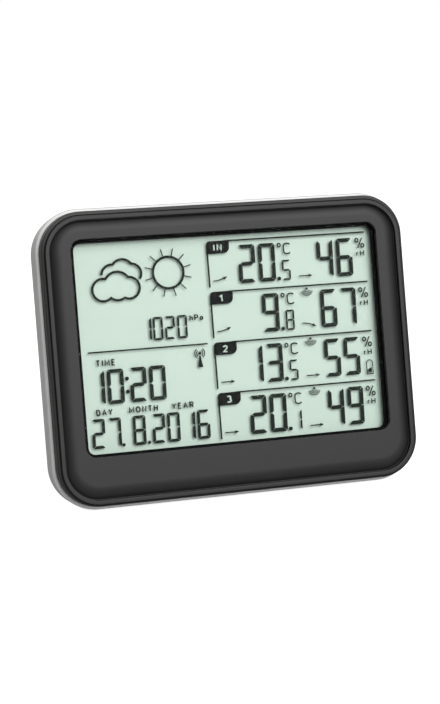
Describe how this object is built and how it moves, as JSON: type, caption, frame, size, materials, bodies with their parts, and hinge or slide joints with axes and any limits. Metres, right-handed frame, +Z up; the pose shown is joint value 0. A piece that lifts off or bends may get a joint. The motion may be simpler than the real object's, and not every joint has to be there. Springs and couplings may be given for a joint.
{
  "type": "desktop weather station",
  "caption": "Weather station display in a shallow rounded housing, leaning back on a fold-out rear stand, with battery door and rear keys.",
  "frame": {"origin": "middle of the object's footprint on the table, with the stand swung out", "axes": "+Z up, +X to the right as seen by someone reading the display, +Y backwards; the display faces -Y and leans back"},
  "size_m": [0.1808, 0.0694, 0.138],
  "materials": {
    "bezel_plastic": "fine matt dark grey moulding",
    "silver_plastic": "satin silver lacquer on moulded plastic",
    "clear_acrylic": "clear, slightly glossy",
    "black_foam": "matt black foam",
    "lcd_glass": "clear glass with a faint green cast",
    "reflector_film": "pale green-grey diffuse film",
    "carrier_plastic": "natural white moulding",
    "elastomer": "matt grey elastomer",
    "circuit_board": "green solder mask",
    "epoxy": "black cast epoxy",
    "tin_can": "tinned sheet",
    "capacitor_sleeve": "dark blue sleeve",
    "sensor_plastic": "white moulding",
    "ferrite": "matt dark grey sintered ferrite",
    "copper_wire": "enamelled copper",
    "key_plastic": "matt dark grey keycap",
    "switch_plastic": "black moulding",
    "cell_sleeve": "plain printed sleeve on a cell",
    "nickel": "nickel plated spring steel",
    "screw_steel": "zinc plated steel",
    "red_wire": "red insulation",
    "black_wire": "black insulation",
    "rubber": "matt black rubber"
  },
  "bodies": {
    "housing": {"front_bezel": "bezel_plastic", "display_lens": "clear_acrylic", "display_gasket": "black_foam", "lcd_front_glass": "lcd_glass", "lcd_rear_glass": "lcd_glass", "lcd_reflector": "reflector_film", "lcd_carrier": "carrier_plastic", "zebra_strip": "elastomer", "main_board": "circuit_board", "controller_blob": "epoxy", "clock_crystal": "tin_can", "capacitor_1": "capacitor_sleeve", "capacitor_2": "capacitor_sleeve", "pressure_sensor": "tin_can", "humidity_sensor": "sensor_plastic", "receiver_board": "circuit_board", "receiver_shield": "tin_can", "receiver_aerial": "copper_wire", "buzzer": "switch_plastic", "ferrite_rod": "ferrite", "ferrite_coil": "copper_wire", "aerial_bracket": "carrier_plastic", "rear_shell": "silver_plastic", "battery_1": "cell_sleeve", "battery_2": "cell_sleeve", "contact_spring_1": "nickel", "contact_spring_2": "nickel", "contact_bridge": "nickel", "contact_negative": "nickel", "contact_positive": "nickel", "lead_black": "black_wire", "lead_red": "red_wire", "rubber_foot_left": "rubber", "rubber_foot_right": "rubber", "mode_switch": "switch_plastic", "set_switch": "switch_plastic", "alarm_switch": "switch_plastic", "channel_switch": "switch_plastic", "up_switch": "switch_plastic", "down_switch": "switch_plastic", "case_screw_1": "screw_steel", "board_screw_1": "screw_steel", "case_screw_2": "screw_steel", "board_screw_2": "screw_steel", "case_screw_3": "screw_steel", "board_screw_3": "screw_steel", "case_screw_4": "screw_steel", "board_screw_4": "screw_steel"},
    "stand": {"table_stand": "silver_plastic"},
    "door": {"battery_door": "silver_plastic"},
    "mode_button": {"mode_key": "key_plastic"},
    "set_button": {"set_key": "key_plastic"},
    "alarm_button": {"alarm_key": "key_plastic"},
    "channel_button": {"channel_key": "key_plastic"},
    "up_button": {"up_key": "key_plastic"},
    "down_button": {"down_key": "key_plastic"}
  },
  "joints": [
    {"name": "stand_fold", "type": "hinge", "parent": "housing", "child": "stand", "pos_m": [0, -0.0085, 0.01223], "axis": [1, 0, 0], "range_deg": [0, 90]},
    {"name": "battery_door_swing", "type": "hinge", "parent": "housing", "child": "door", "pos_m": [0, 0.00674, 0.06032], "axis": [-1, 0, 0], "range_deg": [0, 75]},
    {"name": "mode_press", "type": "slide", "parent": "housing", "child": "mode_button", "axis": [0, -0.965, 0.2622], "range_m": [0, 0.0008], "stiffness_N_per_m": 1200, "springref_m": -0.0002},
    {"name": "set_press", "type": "slide", "parent": "housing", "child": "set_button", "axis": [0, -0.965, 0.2622], "range_m": [0, 0.0008], "stiffness_N_per_m": 1200, "springref_m": -0.0002},
    {"name": "alarm_press", "type": "slide", "parent": "housing", "child": "alarm_button", "axis": [0, -0.965, 0.2622], "range_m": [0, 0.0008], "stiffness_N_per_m": 1200, "springref_m": -0.0002},
    {"name": "channel_press", "type": "slide", "parent": "housing", "child": "channel_button", "axis": [0, -0.965, 0.2622], "range_m": [0, 0.0008], "stiffness_N_per_m": 1200, "springref_m": -0.0002},
    {"name": "up_press", "type": "slide", "parent": "housing", "child": "up_button", "axis": [0, -0.965, 0.2622], "range_m": [0, 0.0008], "stiffness_N_per_m": 1200, "springref_m": -0.0002},
    {"name": "down_press", "type": "slide", "parent": "housing", "child": "down_button", "axis": [0, -0.965, 0.2622], "range_m": [0, 0.0008], "stiffness_N_per_m": 1200, "springref_m": -0.0002}
  ]
}
